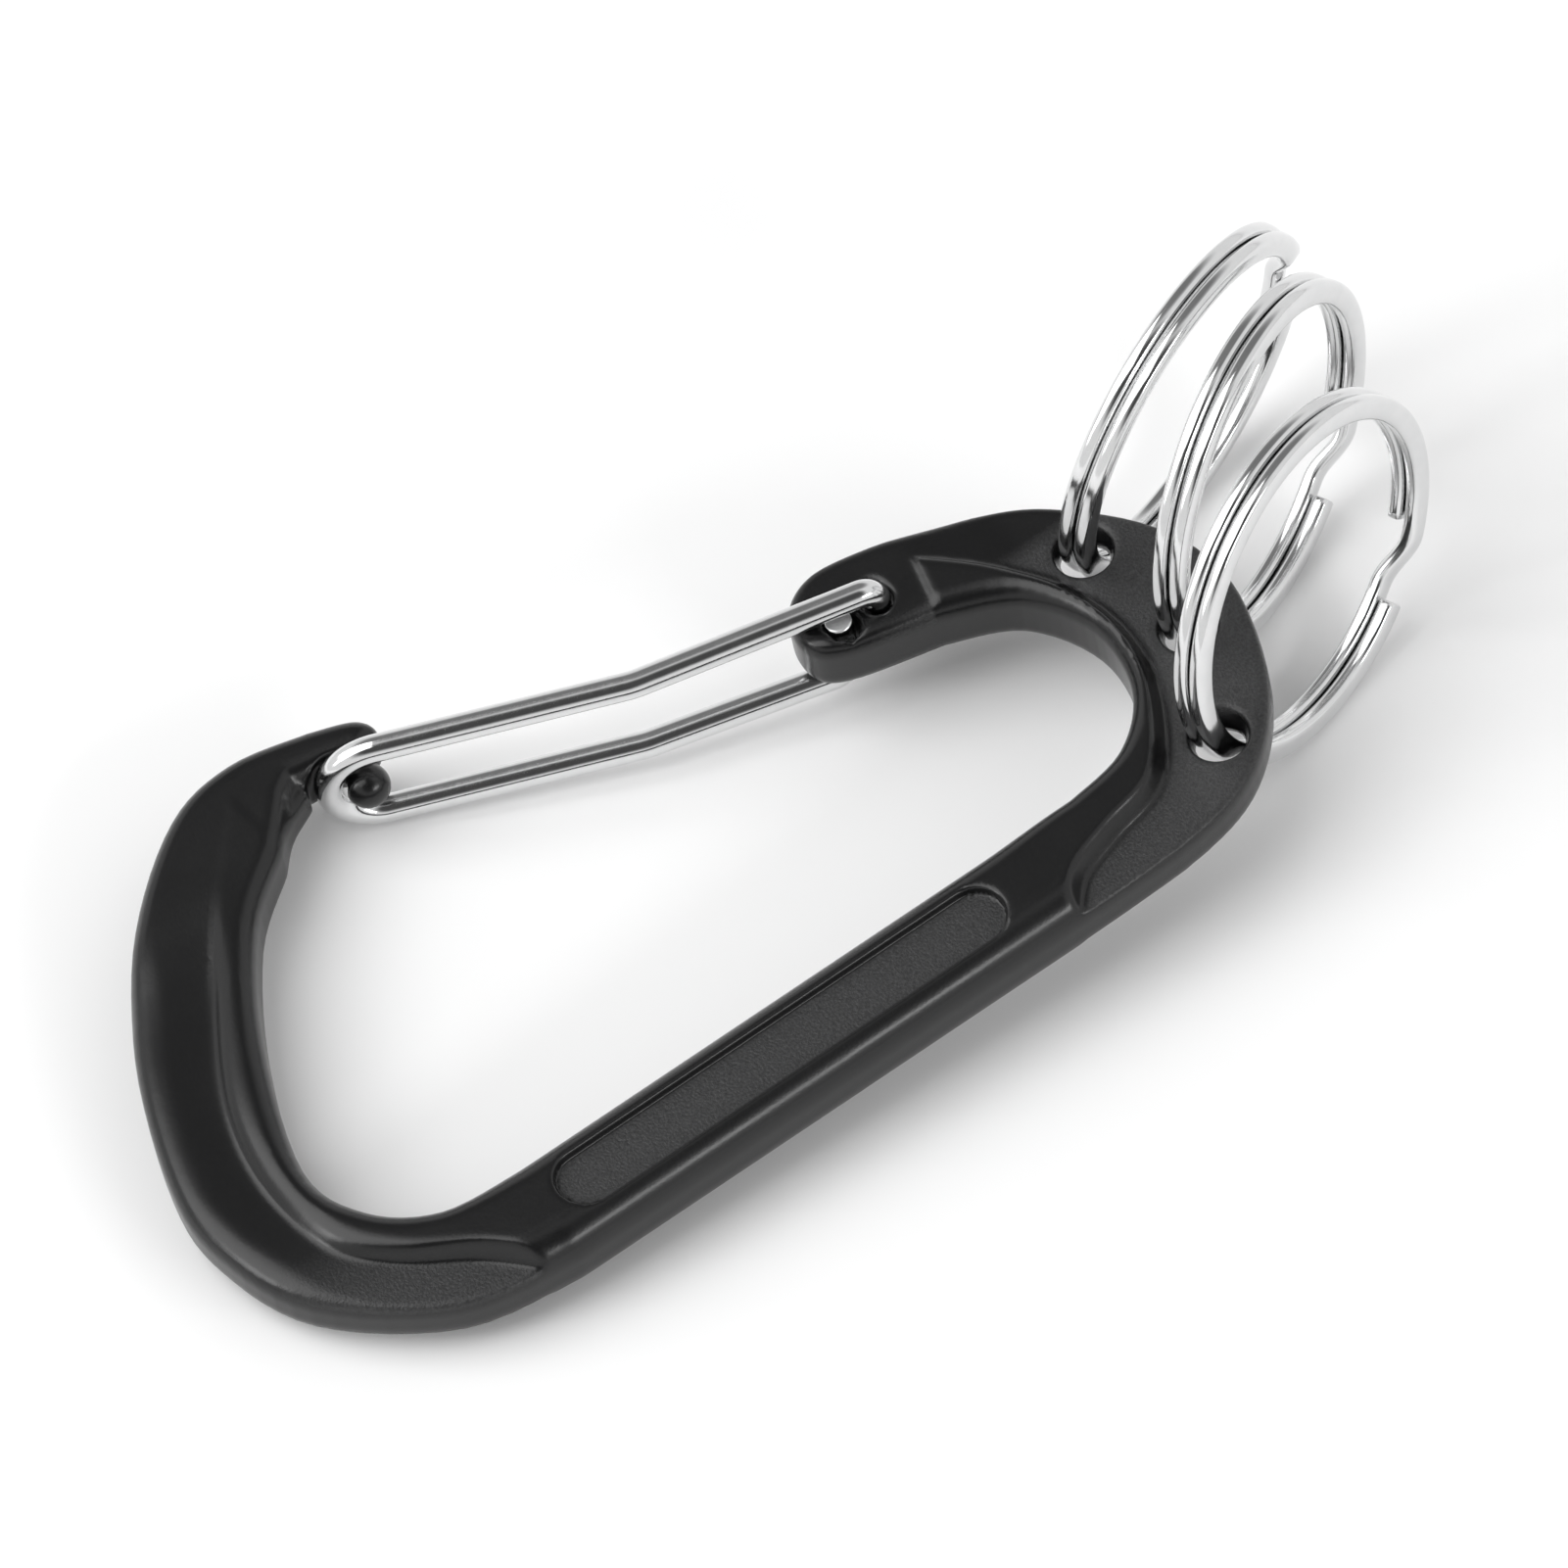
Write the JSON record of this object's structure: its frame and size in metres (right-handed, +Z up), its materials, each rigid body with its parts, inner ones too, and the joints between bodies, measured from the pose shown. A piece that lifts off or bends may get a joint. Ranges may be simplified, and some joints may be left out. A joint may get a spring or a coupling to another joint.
{
  "type": "carabiner keyring",
  "caption": "D-shaped forged carabiner with a bent-wire gate and split key rings through holes at its hinge end.",
  "frame": {"origin": "centre of the bounding box's base, level with the surface that the hook end and the split rings stand on", "axes": "+X along the spine towards the split rings, +Y from the spine towards the gate, +Z up; the body's face is tipped 3.7 degrees about Y, ring end up, because the part rests on its rings"},
  "size_m": [0.0942, 0.0438, 0.025],
  "materials": {
    "black_coated_aluminium": "satin black coating with a fine grain",
    "polished_steel": "polished"
  },
  "bodies": {
    "frame": {"body": "black_coated_aluminium"},
    "gate": {"wire_gate": "polished_steel"},
    "ring_1": {"split_ring_1": "polished_steel"},
    "ring_2": {"split_ring_2": "polished_steel"},
    "ring_3": {"split_ring_3": "polished_steel"}
  },
  "joints": [
    {"name": "gate_hinge", "type": "hinge", "parent": "frame", "child": "gate", "pos_m": [0.01095, 0.00539, 0.00641], "axis": [-0.0645, 0, 0.9979], "range_deg": [0, 26], "stiffness_Nm_per_rad": 0.12, "springref_deg": -17.19},
    {"name": "ring_1_swing", "type": "hinge", "parent": "frame", "child": "ring_1", "pos_m": [0.02462, 0.00038, 0.00729], "axis": [0.3571, -0.9253, -0.1275], "range_deg": [-46, 0]},
    {"name": "ring_2_swing", "type": "hinge", "parent": "frame", "child": "ring_2", "pos_m": [0.02642, -0.00843, 0.00741], "axis": [0.4571, -0.8887, 0.0344], "range_deg": [-46, 0]},
    {"name": "ring_3_swing", "type": "hinge", "parent": "frame", "child": "ring_3", "pos_m": [0.02322, -0.01622, 0.0072], "axis": [0.3473, -0.9327, 0.0978], "range_deg": [-46, 0]}
  ]
}
